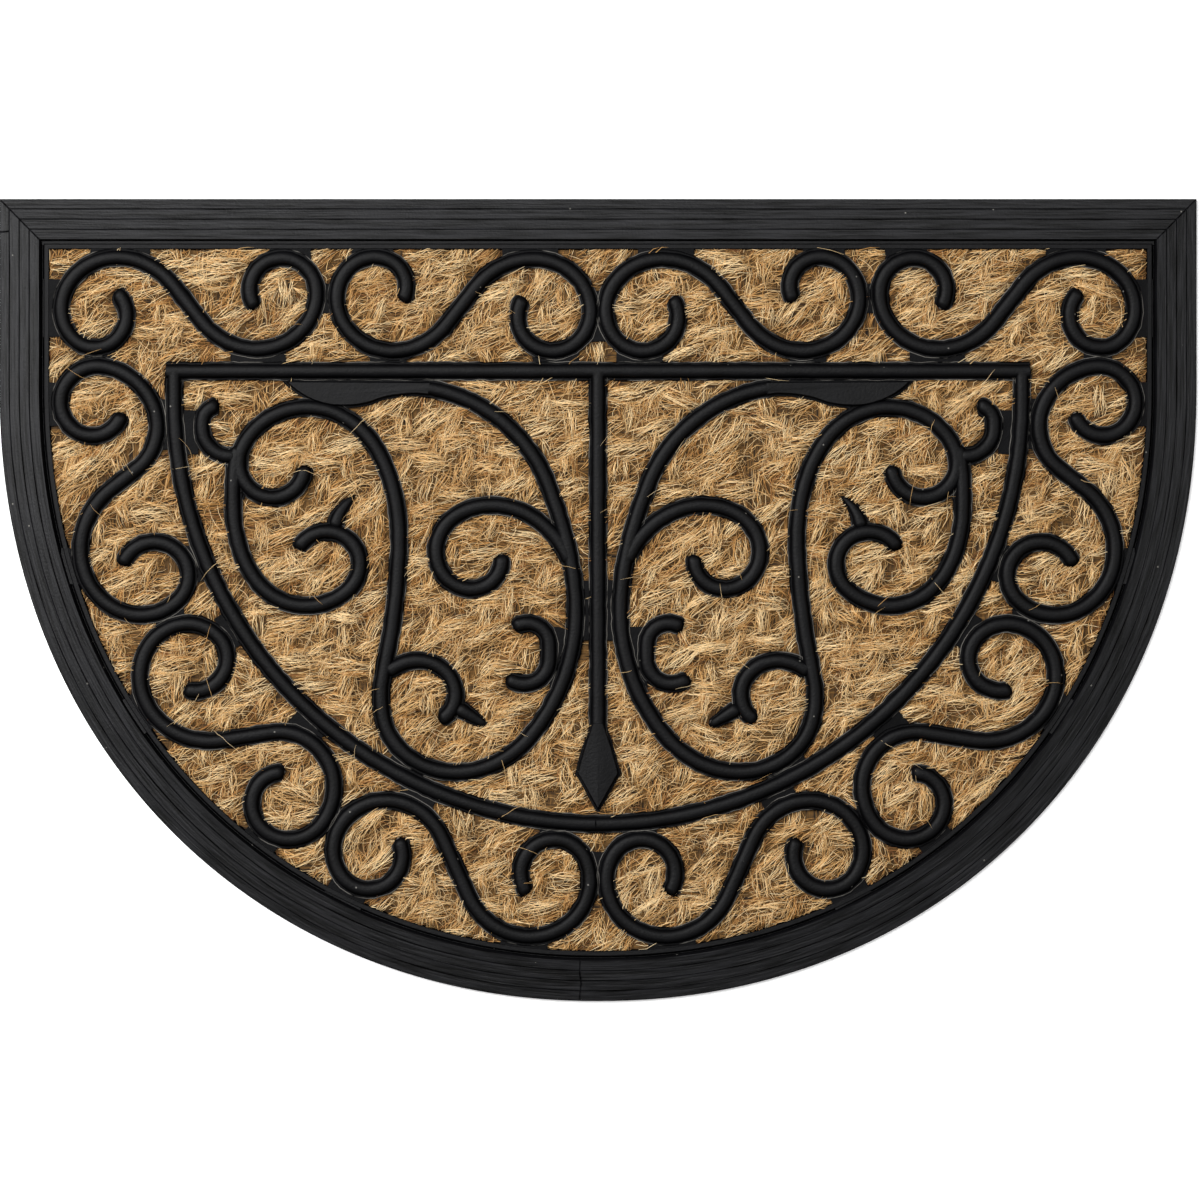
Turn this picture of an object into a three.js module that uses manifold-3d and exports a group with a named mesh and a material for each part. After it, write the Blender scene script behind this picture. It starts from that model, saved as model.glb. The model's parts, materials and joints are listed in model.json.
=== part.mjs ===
// Half round doormat: a panel of woven coir held in a one-piece rubber moulding. The moulding is a
// thin backing, a ramped and grooved rim, and an openwork of scrolls that lies over the coir.
// Millimetres, +Z up, the straight edge towards +Y, the origin under the middle of the mat.
import * as THREE from 'three';
import { mergeVertices } from 'three/addons/utils/BufferGeometryUtils.js';
import Module from 'manifold-3d';

const wasm = await Module();
wasm.setup();

// Outline: a straight back edge, two short straight sides and a round front edge
const WIDTH = 600;
const DEPTH = 402;
const SIDE_LENGTH = 95;
const ROUNDNESS = 2.09; // exponent of the round edge, where 2 is an ellipse
const ROUND_STEPS = 44;

// Heights above the floor
const HEIGHT = 10;
const BACKING_TOP = 2;
const COIR_TOP = 6;
const CLEARANCE = 0.3;
const LATTICE_BASE = COIR_TOP + CLEARANCE;
const FLANGE_TOP = 7.1;
const RIM_EDGE = 3;
const RIM_CREST = 9.6;

// Rim, measured inwards from the outer edge: a ramp of grooved bands, a gutter, and a thin lip that
// holds the edge of the coir down
const RAMP_WIDTH = 20.8;
const RAMP_BANDS = 4;
const GROOVE_HALF_WIDTH = 0.6;
const GROOVE_DEPTH = 0.9;
const GUTTER_FLOOR = 5.2;
const LIP_OUTER = 22.8;
const LIP_INNER = 25.5;

// Bars of the openwork: half widths of the flat flange and of the bead that rises from it
const FLANGE = 4.5;
const BEAD = 3.4;
const BEAD_SHOULDER = 8.4;
const LEAF_TOP = 9;
const DEGREES_PER_STEP = 30;

// Inner frame: a bar across the back, and a round bow from one end of it to the other
const FRAME_RADIUS = 212;
const FRAME_BACK = 114.5;
const FRAME_CORNER = 4; // how far the back bar runs past the middle of the bow's ends
const BOW_CENTRE = 100;
const BOW_STEPS = 36;

// Spearhead at the foot of the middle bar
const SPEAR = { neck: -66, shoulder: -76, widest: -87, waist: -93.5, tip: -106 };
const SPEAR_HALF_WIDTHS = { neck: 3, widest: 11.2, waist: 9 };

// Leaf that swells under the back bar, at the root of the tall scroll
const LEAF = { tip: -159, belly: -131, root: -89, bottom: 97.6, rootBottom: 100.4, buried: 2 };
const PLATE_CURVE_STEPS = 5;

const run = (length) => ({ length });
const curl = (turn, from, to = from) => ({ turn, from, to });

// Scrolls of the left half. Each passes through a point with a heading in degrees, and runs on from
// there by its sections, ahead and back. A curl turns left where its turn is positive, while its
// radius changes evenly from one value to the other.
const SCROLLS = [
  // S scrolls around the frame, from the left end of the back edge to the middle and round the front
  { x: -205, y: 148, heading: -52,
    ahead: [run(11), curl(145, 38, 25), curl(215, 18, 15)],
    back: [run(12), curl(190, 39, 19), curl(180, 15, 17)] },
  { x: -67, y: 149, heading: 52,
    ahead: [run(9), curl(-185, 41, 19), curl(-175, 19, 16)],
    back: [run(14), curl(-165, 37, 22), curl(-195, 21, 12)] },
  { x: -238, y: 60, heading: 218,
    ahead: [run(7), curl(190, 42, 24), curl(205, 17)],
    back: [run(10), curl(130, 24, 35), curl(270, 20, 14)] },
  { x: -184, y: -69.5, heading: 9,
    ahead: [run(21), curl(-135, 26, 30), curl(-240, 22, 14)],
    back: [run(4), curl(-250, 40, 18), curl(-140, 16)] },
  { x: -72, y: -132, heading: -66,
    ahead: [run(17), curl(180, 37, 25), curl(195, 17)],
    back: [run(14), curl(190, 34, 21), curl(177, 17)] },
  // Tall scroll, from the eye at its top left round the belly at its foot and up to the leaf
  { x: -99.5, y: 25, heading: 88,
    ahead: [curl(52, 130, 38), curl(104, 40, 34), curl(209, 18.5, 15)],
    back: [curl(-10.5, 345), curl(25, 50), curl(128, 30, 55), curl(43, 98), curl(16, 160), run(12),
      curl(65, 77)] },
  // Hook that leaves the tall scroll beside the middle bar
  { x: -14, y: 18.5, heading: 111,
    ahead: [curl(103, 51, 30), curl(249, 23, 13)],
    back: [] },
  // Curl inside the belly, with a spur
  { x: -106, y: -37, heading: 45,
    ahead: [curl(-204, 24.5, 12)],
    back: [] },
  { x: -71, y: -53.5, heading: -31,
    ahead: [run(18)],
    back: [] },
  // Hanging scroll at the left, with a spur
  { x: -182.5, y: 47.5, heading: -90,
    ahead: [curl(47, 83, 36), curl(88, 31), curl(198, 16.5)],
    back: [run(8), curl(-14, 90)] },
  { x: -132, y: 35.5, heading: 74,
    ahead: [run(4), curl(-42, 22)],
    back: [] },
  // Small hook against the frame
  { x: -198, y: 86, heading: 90,
    ahead: [run(2.5), curl(-88, 9)],
    back: [curl(90, 14), run(4)] },
  // Small C beside the middle bar
  { x: -24.3, y: -26.5, heading: 90,
    ahead: [run(4), curl(110, 11), run(4)],
    back: [run(3), curl(-112, 12.5), run(5)] },
];

// Flat square webs of rubber that tie neighbours together where their flanges stop short of each other
const WEB_SIZE = 9;
const WEB_BASE = 6.5;
const WEB_TOP = 7;
const WEBS = [
  // Between the S scrolls and the rim
  { x: -272, y: 99 },
  { x: -264, y: 19 },
  { x: -230, y: -57 },
  { x: -126, y: -146 },
  // From one S scroll to the next
  { x: -250, y: 122 },
  { x: -214, y: -9 },
  { x: -133, y: -107 },
  { x: 0, y: -136 },
  // Between the S scrolls and the frame
  { x: -170, y: 121 },
  { x: -106, y: 121 },
  { x: -22, y: 121 },
  { x: -203, y: 19 },
  { x: -146, y: -65 },
  { x: -22, y: -117 },
  // Inside the frame
  { x: -204, y: 86 },
  { x: -95, y: -85 },
  { x: -6, y: -2 },
  { x: -19, y: -27 },
];

// A closed geometry as a solid that can be joined and cut
function solid(geometry) {
  geometry.deleteAttribute('normal');
  geometry.deleteAttribute('uv');
  const merged = mergeVertices(geometry);
  const vertProperties = new Float32Array(merged.attributes.position.array);
  const triVerts = new Uint32Array(merged.index.array);
  return new wasm.Manifold(new wasm.Mesh({ numProp: 3, vertProperties, triVerts }));
}

function geometryOf(body) {
  const { vertProperties, triVerts } = body.getMesh();
  const geometry = new THREE.BufferGeometry();
  geometry.setAttribute('position', new THREE.BufferAttribute(vertProperties, 3));
  geometry.setIndex(new THREE.BufferAttribute(triVerts, 1));
  geometry.computeVertexNormals();
  return geometry;
}

// The corners and steps of the mat's outline, drawn in by an inset, anticlockwise
function outline(inset) {
  const halfWidth = WIDTH / 2 - inset;
  const back = DEPTH / 2 - inset;
  const shoulder = DEPTH / 2 - SIDE_LENGTH;
  const reach = DEPTH - SIDE_LENGTH - inset;
  const power = 2 / ROUNDNESS;
  const points = [new THREE.Vector2(halfWidth, back), new THREE.Vector2(-halfWidth, back)];
  for (let step = 0; step <= ROUND_STEPS; step++) {
    const angle = (Math.PI * step) / ROUND_STEPS;
    const across = Math.cos(angle);
    const x = -halfWidth * Math.sign(across) * Math.abs(across) ** power;
    points.push(new THREE.Vector2(x, shoulder - reach * Math.sin(angle) ** power));
  }
  return points;
}

// A body turned like a dish, then drawn out to the mat's outline. Each row of its profile is an inset
// and a height, and the rows start and end at the middle.
function dish(profile) {
  const middle = new THREE.Vector2();
  const rows = [{ height: profile[0].height }, ...profile, { height: profile.at(-1).height }];
  const columns = outline(0).length;
  const loops = rows.map(({ inset }) => (inset === undefined ? null : outline(inset)));
  const turned = rows.map(({ height }, row) => new THREE.Vector2(loops[row] ? 1 : 0, height));
  const geometry = new THREE.LatheGeometry(turned, columns);
  const { position } = geometry.attributes;
  for (let index = 0; index < position.count; index++) {
    const row = index % rows.length;
    const column = Math.floor(index / rows.length) % columns;
    const { x, y } = loops[row] ? loops[row][column] : middle;
    position.setXYZ(index, x, y, rows[row].height);
  }
  return solid(geometry);
}

// A flat plate that lies over the coir, as thick as the leaf and the spearhead are
function plate(shape) {
  const geometry = new THREE.ExtrudeGeometry(shape, {
    depth: LEAF_TOP - LATTICE_BASE,
    curveSegments: PLATE_CURVE_STEPS,
    bevelEnabled: false,
  });
  geometry.translate(0, 0, LATTICE_BASE);
  return solid(geometry);
}

// A path of straight pieces through given points, stepped from point to point
class BarPath extends THREE.Curve {
  constructor(points) {
    super();
    this.points = points;
  }

  getPoint(t) {
    const place = t * (this.points.length - 1);
    const index = Math.min(Math.floor(place), this.points.length - 2);
    return this.points[index].clone().lerp(this.points[index + 1], place - index);
  }

  getUtoTmapping(u) {
    return u;
  }
}

// The points of one arm of a scroll
function walk(x, y, headingDegrees, sections) {
  const points = [new THREE.Vector3(x, y, 0)];
  const place = points[0].clone();
  let heading = THREE.MathUtils.degToRad(headingDegrees);
  const advance = (length) => {
    place.x += length * Math.cos(heading);
    place.y += length * Math.sin(heading);
    points.push(place.clone());
  };
  for (const { length, turn, from, to } of sections) {
    if (length) {
      advance(length);
      continue;
    }
    const steps = Math.ceil(Math.abs(turn) / DEGREES_PER_STEP);
    const stepTurn = THREE.MathUtils.degToRad(turn) / steps;
    for (let step = 0; step < steps; step++) {
      const radius = from * (to / from) ** ((step + 0.5) / steps);
      heading += stepTurn / 2;
      advance(2 * radius * Math.sin(Math.abs(stepTurn) / 2));
      heading += stepTurn / 2;
    }
  }
  return points;
}

function scrollPoints({ x, y, heading, ahead, back }) {
  const tail = walk(x, y, heading + 180, back).reverse();
  return [...tail.slice(0, -1), ...walk(x, y, heading, ahead)];
}

// A bar with a flat flange and a ridged bead, swept along points in plan. The section's first
// coordinate points down, so heights are negative in it.
function bar(points) {
  const section = new THREE.Shape();
  section.moveTo(-LATTICE_BASE, -FLANGE);
  section.lineTo(-LATTICE_BASE, FLANGE);
  section.lineTo(-BEAD_SHOULDER, BEAD);
  section.lineTo(-HEIGHT, 0);
  section.lineTo(-BEAD_SHOULDER, -BEAD);
  section.closePath();
  const extrudePath = new BarPath(points);
  return solid(new THREE.ExtrudeGeometry(section, { steps: points.length - 1, extrudePath }));
}

function mirrored(points) {
  return points.map(({ x, y, z }) => new THREE.Vector3(-x, y, z));
}

const at = (x, y) => new THREE.Vector3(x, y, 0);

function frameBars() {
  const bow = [];
  for (let step = 0; step <= BOW_STEPS; step++) {
    const angle = Math.PI * (1 + step / BOW_STEPS);
    bow.push(at(FRAME_RADIUS * Math.cos(angle), BOW_CENTRE + FRAME_RADIUS * Math.sin(angle)));
  }
  const backEnd = FRAME_RADIUS + FRAME_CORNER;
  return [
    bar([at(-FRAME_RADIUS, FRAME_BACK), ...bow, at(FRAME_RADIUS, FRAME_BACK)]),
    bar([at(-backEnd, FRAME_BACK), at(backEnd, FRAME_BACK)]),
    bar([at(0, FRAME_BACK), at(0, SPEAR.widest)]),
  ];
}

function spearhead() {
  const { neck, shoulder, widest, waist, tip } = SPEAR;
  const half = SPEAR_HALF_WIDTHS;
  const shape = new THREE.Shape();
  shape.moveTo(half.neck, neck);
  shape.quadraticCurveTo(half.widest, shoulder, half.widest, widest);
  shape.quadraticCurveTo(half.waist, waist, 0, tip);
  shape.quadraticCurveTo(-half.waist, waist, -half.widest, widest);
  shape.quadraticCurveTo(-half.widest, shoulder, -half.neck, neck);
  shape.closePath();
  return plate(shape);
}

// The side is 1 for the left half, as in the tables, and -1 for its mirror image
function leaf(side) {
  const tip = side * LEAF.tip;
  const belly = side * LEAF.belly;
  const root = side * LEAF.root;
  const top = FRAME_BACK - LEAF.buried;
  const middle = (belly + root) / 2;
  const shape = new THREE.Shape();
  shape.moveTo(tip, top);
  shape.quadraticCurveTo((tip + belly) / 2, LEAF.bottom, belly, LEAF.bottom);
  shape.bezierCurveTo(middle, LEAF.bottom, middle, LEAF.rootBottom, root, LEAF.rootBottom);
  shape.lineTo(root, top);
  shape.closePath();
  return plate(shape);
}

function web(x, y) {
  const geometry = new THREE.BoxGeometry(WEB_SIZE, WEB_SIZE, WEB_TOP - WEB_BASE);
  geometry.translate(x, y, (WEB_TOP + WEB_BASE) / 2);
  return solid(geometry);
}

function joined(bodies) {
  return bodies.reduce((whole, body) => whole.add(body));
}

// Backing and rim in one: up the outer edge, over the ramp and its grooves, down into the gutter, over
// the lip and down to the floor under the coir
function tray() {
  const rampHeight = (inset) => RIM_EDGE + ((RIM_CREST - RIM_EDGE) * inset) / RAMP_WIDTH;
  const profile = [
    { inset: 0, height: 0 },
    { inset: 0, height: RIM_EDGE },
  ];
  for (let band = 1; band < RAMP_BANDS; band++) {
    const middle = (band * RAMP_WIDTH) / RAMP_BANDS;
    const outer = middle - GROOVE_HALF_WIDTH;
    const inner = middle + GROOVE_HALF_WIDTH;
    profile.push(
      { inset: outer, height: rampHeight(outer) },
      { inset: middle, height: rampHeight(middle) - GROOVE_DEPTH },
      { inset: inner, height: rampHeight(inner) },
    );
  }
  profile.push(
    { inset: RAMP_WIDTH, height: RIM_CREST },
    { inset: RAMP_WIDTH, height: GUTTER_FLOOR },
    { inset: LIP_OUTER, height: GUTTER_FLOOR },
    { inset: LIP_OUTER, height: FLANGE_TOP },
    { inset: LIP_INNER, height: FLANGE_TOP },
    { inset: LIP_INNER, height: BACKING_TOP },
  );
  return dish(profile);
}

function openwork() {
  const bodies = [...frameBars(), spearhead(), leaf(1), leaf(-1)];
  for (const scroll of SCROLLS) {
    const points = scrollPoints(scroll);
    bodies.push(bar(points), bar(mirrored(points)));
  }
  for (const { x, y } of WEBS) {
    bodies.push(web(x, y), web(-x, y));
  }
  return joined(bodies);
}

function rubberMoulding() {
  const material = new THREE.MeshStandardMaterial({ color: 0x2b2b2c, roughness: 0.75, metalness: 0 });
  const mesh = new THREE.Mesh(geometryOf(tray().add(openwork())), material);
  mesh.name = 'rubber_moulding';
  return mesh;
}

function coirPanel() {
  const material = new THREE.MeshStandardMaterial({ color: 0xa48258, roughness: 0.95, metalness: 0 });
  const inset = LIP_INNER + CLEARANCE;
  const body = dish([
    { inset, height: BACKING_TOP + CLEARANCE },
    { inset, height: COIR_TOP },
  ]);
  const mesh = new THREE.Mesh(geometryOf(body), material);
  mesh.name = 'coir_panel';
  return mesh;
}

const doormat = new THREE.Group();
doormat.add(rubberMoulding(), coirPanel());

export default doormat;
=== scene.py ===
import json
import math
import bpy
import numpy as np
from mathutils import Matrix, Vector, noise
from mathutils.bvhtree import BVHTree

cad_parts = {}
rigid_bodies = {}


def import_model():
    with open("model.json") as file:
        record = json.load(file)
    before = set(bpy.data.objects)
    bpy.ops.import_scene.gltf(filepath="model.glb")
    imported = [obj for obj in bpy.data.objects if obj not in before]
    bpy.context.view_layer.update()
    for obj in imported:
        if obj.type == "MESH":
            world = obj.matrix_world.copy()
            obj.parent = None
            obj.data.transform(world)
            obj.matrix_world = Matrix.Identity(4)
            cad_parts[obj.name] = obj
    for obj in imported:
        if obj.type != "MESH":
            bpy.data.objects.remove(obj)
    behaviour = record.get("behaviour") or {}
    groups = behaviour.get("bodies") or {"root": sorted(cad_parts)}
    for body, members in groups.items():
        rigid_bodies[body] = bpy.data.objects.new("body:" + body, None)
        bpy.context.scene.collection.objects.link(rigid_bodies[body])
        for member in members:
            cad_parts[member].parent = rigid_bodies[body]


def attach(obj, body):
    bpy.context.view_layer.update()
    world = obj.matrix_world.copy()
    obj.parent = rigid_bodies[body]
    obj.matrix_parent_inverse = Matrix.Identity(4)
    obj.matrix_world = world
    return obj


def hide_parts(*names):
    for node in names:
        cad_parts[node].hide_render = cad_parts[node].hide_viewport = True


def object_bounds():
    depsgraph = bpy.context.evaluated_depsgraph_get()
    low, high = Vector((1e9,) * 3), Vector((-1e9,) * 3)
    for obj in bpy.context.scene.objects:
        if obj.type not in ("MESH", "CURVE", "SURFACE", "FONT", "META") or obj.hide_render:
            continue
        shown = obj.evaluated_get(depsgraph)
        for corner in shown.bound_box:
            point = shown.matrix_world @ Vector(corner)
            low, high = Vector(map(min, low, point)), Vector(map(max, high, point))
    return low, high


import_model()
cad_low, cad_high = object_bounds()
MM = 0.001

# Backing and rim. One moulding of black rubber: a thin backing, a ramped rim with three fine grooves, a
# deep gutter inside the ramp, and a thin lip that holds the edge of the coir down.
# The outline is worked up in rings, each one an inset of the face before it.
HALF_WIDTH = cad_high.x
BACK = cad_high.y
DEPTH = cad_high.y - cad_low.y
SIDE_LENGTH = 95 * MM
ROUNDNESS = 2.09  # exponent of the round edge, where 2 is an ellipse
OUTLINE_STEPS = 150
RIM_EDGE = 3.0
RIM_CREST = 9.6
RAMP_WIDTH = 20.8
RAMP_BANDS = 4
GROOVE_HALF_WIDTH = 0.35
GROOVE_DEPTH = 0.42
GUTTER_FLOOR = 4.6
LIP_OUTER = 22.8
LIP_INNER = 25.5
LIP_TOP = 7.1
BACKING_TOP = 2.0


def outline(inset, steps):
    """The mat's outline drawn in by an inset, anticlockwise from the back right corner, in metres."""
    half_width = HALF_WIDTH - inset
    back = BACK - inset
    shoulder = BACK - SIDE_LENGTH
    reach = DEPTH - SIDE_LENGTH - inset
    angle = np.linspace(0, math.pi, steps + 1)
    across = np.cos(angle)
    x = -half_width * np.sign(across) * np.abs(across) ** (2 / ROUNDNESS)
    y = shoulder - reach * np.sin(angle) ** (2 / ROUNDNESS)
    corners = [(half_width, back), (-half_width, back)]
    return np.vstack([corners, np.column_stack([x, y])])


def ramp_height(inset):
    return RIM_EDGE + (RIM_CREST - RIM_EDGE) * inset / RAMP_WIDTH


def rim_profile():
    """Insets from the outer edge and heights, in millimetres, from the outer edge to the floor inside."""
    rows = [(0.0, RIM_EDGE - 0.4), (0.4, ramp_height(0.4))]
    for band in range(1, RAMP_BANDS):
        middle = band * RAMP_WIDTH / RAMP_BANDS
        outer = middle - GROOVE_HALF_WIDTH
        inner = middle + GROOVE_HALF_WIDTH
        rows.append((outer, ramp_height(outer)))
        rows.append((middle, ramp_height(middle) - GROOVE_DEPTH))
        rows.append((inner, ramp_height(inner)))
    rows += [(RAMP_WIDTH - 0.6, ramp_height(RAMP_WIDTH - 0.6)), (RAMP_WIDTH - 0.2, RIM_CREST)]
    rows += [(RAMP_WIDTH + 0.1, RIM_CREST - 0.3), (RAMP_WIDTH + 1.0, GUTTER_FLOOR)]
    rows += [(RAMP_WIDTH + 1.2, GUTTER_FLOOR), (LIP_OUTER, LIP_TOP - 0.3)]
    rows += [(LIP_OUTER + 0.4, LIP_TOP), (LIP_INNER - 0.4, LIP_TOP), (LIP_INNER - 0.1, LIP_TOP - 0.3)]
    rows += [(LIP_INNER, BACKING_TOP)]
    return rows


def plate_of(name, points):
    """A flat face through points in plan, at the floor, left in edit mode with all of it selected."""
    bpy.ops.object.select_all(action="DESELECT")
    bpy.ops.mesh.primitive_circle_add(vertices=len(points), fill_type="NGON")
    plate = bpy.context.object
    plate.name = name
    places = np.column_stack([points, np.zeros(len(points))])
    plate.data.vertices.foreach_set("co", places.ravel())
    plate.data.update()
    bpy.ops.object.mode_set(mode="EDIT")
    bpy.ops.mesh.select_all(action="SELECT")
    return plate


moulding = plate_of("moulded_rubber", outline(0, OUTLINE_STEPS))
profile = rim_profile()
bpy.ops.mesh.extrude_region_move(TRANSFORM_OT_translate={"value": (0, 0, profile[0][1] * MM)})
for (inset, height), (next_inset, next_height) in zip(profile, profile[1:]):
    bpy.ops.mesh.inset(thickness=(next_inset - inset) * MM, depth=(next_height - height) * MM)
bpy.ops.object.mode_set(mode="OBJECT")

# Openwork. Bars of the same rubber lie over the coir: a frame, S and C scrolls, leaves and a spearhead.
# Each has a flat flange with a round-topped bead on it, and thin webs of rubber tie neighbours together.
# They run into the rim, so they are joined with it into one body.
LATTICE_BASE = 6.0
LATTICE_TOP = 10.0
BAR_SPACING = 3.0
END_ROUND = 3.4
END_STATIONS = (0.0, 0.35, 0.9, 1.7, 2.6, END_ROUND)
END_SHARE = 0.25  # a bar's width at its very end
TAPER = 1.6  # how long a spur keeps its width, where 1 is an even taper
CURL_STEP = 5  # degrees
FRAME_RADIUS = 212
FRAME_BACK = 114.5
FRAME_CORNER = 4
BOW_CENTRE = 100
# Half of the bar's section: distance from the middle and height above the base, in millimetres
BAR_SECTION = (
    (4.7, 0), (4.75, 0.75), (4.5, 1), (4.2, 0.7), (3.45, 0.75),
    (3.25, 1.9), (2.8, 2.9), (2.05, 3.6), (1.05, 3.92),
)


def run(length):
    return ("run", length)


def curl(turn, radius, end_radius=None):
    return ("curl", turn, radius, end_radius or radius)


# Scrolls of the left half, in millimetres and degrees: a point, a heading there, and the sections that
# run on from it ahead and back. A curl turns left where its turn is positive, while its radius changes
# evenly. The last value is the bar's width at the end of the spur, as a share.
SCROLLS = [
    # S scrolls around the frame, from the left end of the back edge to the middle and round the front
    (-205, 148, -52, [run(11), curl(145, 38, 25), curl(215, 18, 15)],
        [run(12), curl(190, 39, 19), curl(180, 15, 17)], 1),
    (-67, 149, 52, [run(9), curl(-185, 41, 19), curl(-175, 19, 16)],
        [run(14), curl(-165, 37, 22), curl(-195, 21, 12)], 1),
    (-238, 60, 218, [run(7), curl(190, 42, 24), curl(205, 17)],
        [run(10), curl(130, 24, 35), curl(270, 20, 14)], 1),
    (-184, -69.5, 9, [run(21), curl(-135, 26, 30), curl(-240, 22, 14)],
        [run(4), curl(-250, 40, 18), curl(-140, 16)], 1),
    (-72, -132, -66, [run(17), curl(180, 37, 25), curl(195, 17)],
        [run(14), curl(190, 34, 21), curl(177, 17)], 1),
    # Tall scroll, from the eye at its top left round the belly at its foot and up to the leaf
    (-99.5, 25, 88, [curl(52, 130, 38), curl(104, 40, 34), curl(209, 18.5, 15)],
        [curl(-10.5, 345), curl(25, 50), curl(128, 30, 55), curl(43, 98), curl(16, 160),
            run(12), curl(65, 77)], 1),
    # Hook that leaves the tall scroll beside the middle bar
    (-14, 18.5, 111, [curl(103, 51, 30), curl(249, 23, 13)], [], 1),
    # Curl inside the belly, with a spur
    (-106, -37, 45, [curl(-204, 24.5, 12)], [], 1),
    (-71, -53.5, -31, [run(18)], [], 0.5),
    # Hanging scroll at the left, with a spur
    (-182.5, 47.5, -90, [curl(47, 83, 36), curl(88, 31), curl(198, 16.5)], [run(8), curl(-14, 90)], 1),
    (-132, 35.5, 74, [run(4), curl(-42, 22)], [], 0.25),
    # Small hook against the frame
    (-198, 86, 90, [run(2.5), curl(-88, 9)], [curl(90, 14), run(4)], 1),
    # Small C beside the middle bar
    (-24.3, -26.5, 90, [run(4), curl(110, 11), run(4)], [run(3), curl(-112, 12.5), run(5)], 1),
]

# Webs of the left half: middle, length, width and turn, in millimetres and degrees
WEBS = [
    # Between the S scrolls and the rim
    (-273, 146, 9, 29, 0), (-239, 174, 30, 8, 0), (-154, 174, 21, 8, 0), (-113, 174, 21, 8, 0),
    (-34, 174, 28, 8, 0), (-272, 98, 9, 22, 0), (-264, 17, 9, 18, 0), (-230, -57, 20, 8, -56),
    (-168, -119, 18, 8, -40), (-126, -147, 20, 8, -28), (-37, -172, 24, 7, -8),
    # From one S scroll to the next
    (-250, 122, 14, 8, 0), (-135, 151, 8, 15, 0), (0, 142, 9, 25, 0), (-214, -9, 14, 9, 0),
    (-133, -107, 14, 9, -35), (0, -136, 9, 20, 0),
    # Between the S scrolls and the frame
    (-170, 121, 28, 7, 0), (-105, 121, 18, 7, 0), (-21, 121, 23, 7, 0), (-216, 88, 7, 25, 0),
    (-203, 18, 8, 19, 12), (-184, -15, 18, 8, -58), (-146, -64, 18, 8, -42), (-91, -100, 18, 8, -25),
    (-21, -116, 17, 8, -6),
    # Inside the frame
    (-204, 84, 8, 22, 0), (-139, 97, 20, 6, 0), (-96, -84, 18, 8, -26), (-20, -29, 9, 31, 0),
    (-6, -5, 8, 30, 0), (-181, 60, 8, 20, 0),
]
WEB_BASE = 6.1
WEB_TOP = 6.75

# The spearhead's right edge and the left leaf's edges, in millimetres
SPEAR_TIP = (0, -107.5)
SPEAR_WAIST = (6.4, -95.5)
SPEAR_WIDEST = (11.4, -87)
SPEAR_SHOULDER = (10, -79)
SPEAR_NECK = (3.5, -60)
LEAF_TIP = (-159, 110.6)
LEAF_BELLY = (-128, 95.9)
LEAF_WAIST = (-110, 99)
LEAF_NECK = (-89.5, 101.9)
LEAF_ROOT = ((-83.5, 101.1), (-82, 110.1))
LEAF_PULLS = (-145.5, -117, -102)  # where the leaf's three curves turn, along the back bar
PLATE_TOP = 9.9
PLATE_FLANGE_HEIGHT = 0.85
PLATE_FLANGE_WIDTH = 1.1
PLATE_LEAN = 0.2
PLATE_BEVEL = 0.5
SPEAR_RIDGE = 0.4


def walk(x, y, heading, sections):
    """The points of one arm of a scroll, in millimetres."""
    place = np.array([x, y], float)
    points = [place.copy()]
    heading = math.radians(heading)
    for kind, *sizes in sections:
        if kind == "run":
            place += sizes[0] * np.array([math.cos(heading), math.sin(heading)])
            points.append(place.copy())
            continue
        turn, start, end = sizes
        steps = math.ceil(abs(turn) / CURL_STEP)
        step_turn = math.radians(turn) / steps
        for step in range(steps):
            radius = start * (end / start) ** ((step + 0.5) / steps)
            heading += step_turn / 2
            length = 2 * radius * math.sin(abs(step_turn) / 2)
            place += length * np.array([math.cos(heading), math.sin(heading)])
            points.append(place.copy())
            heading += step_turn / 2
    return np.array(points)


def stations(points, rounded, end_share):
    """Points at even steps along a bar, closer at its round ends, and its width at each as a share."""
    steps = np.linalg.norm(np.diff(points, axis=0), axis=1)
    along = np.concatenate([[0], np.cumsum(steps)])
    total = along[-1]
    ends = np.array(END_STATIONS if rounded else (0.0, END_ROUND))
    count = max(2, round((total - 2 * END_ROUND) / BAR_SPACING))
    middle = np.linspace(END_ROUND, total - END_ROUND, count + 1)[1:-1]
    at = np.concatenate([ends, middle, total - ends[::-1]])
    places = np.column_stack([np.interp(at, along, points[:, 0]), np.interp(at, along, points[:, 1])])
    width = 1 + (end_share - 1) * (at / total) ** TAPER
    if rounded:
        from_end = np.minimum(np.minimum(at, total - at) / END_ROUND, 1)
        width *= np.maximum(np.sqrt(1 - (1 - from_end) ** 2), END_SHARE)
    return places, width


def curve_of(name, places):
    """A curve of straight pieces through places given as x, y, z rows."""
    curve = bpy.data.curves.new(name, "CURVE")
    curve.dimensions = "3D"
    spline = curve.splines.new("POLY")
    spline.points.add(len(places) - 1)
    spline.points.foreach_set("co", np.column_stack([places, np.ones(len(places))]).ravel())
    drawn = bpy.data.objects.new(name, curve)
    bpy.context.collection.objects.link(drawn)
    return drawn


half_section = np.array(BAR_SECTION)
section_points = np.vstack([half_section, [[0, LATTICE_TOP - LATTICE_BASE]], half_section[::-1] * (-1, 1)])
bar_section = curve_of("bar_section", np.column_stack([section_points, np.zeros(len(section_points))]) * MM)
bar_section.data.splines[0].use_cyclic_u = True

rubber_pieces = bpy.data.collections.new("rubber_pieces")
bpy.context.scene.collection.children.link(rubber_pieces)


def gather(piece, collection):
    """Moves a finished piece to the collection of those that are joined with the rim, or cut from it."""
    bpy.context.collection.objects.unlink(piece)
    collection.objects.link(piece)


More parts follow.
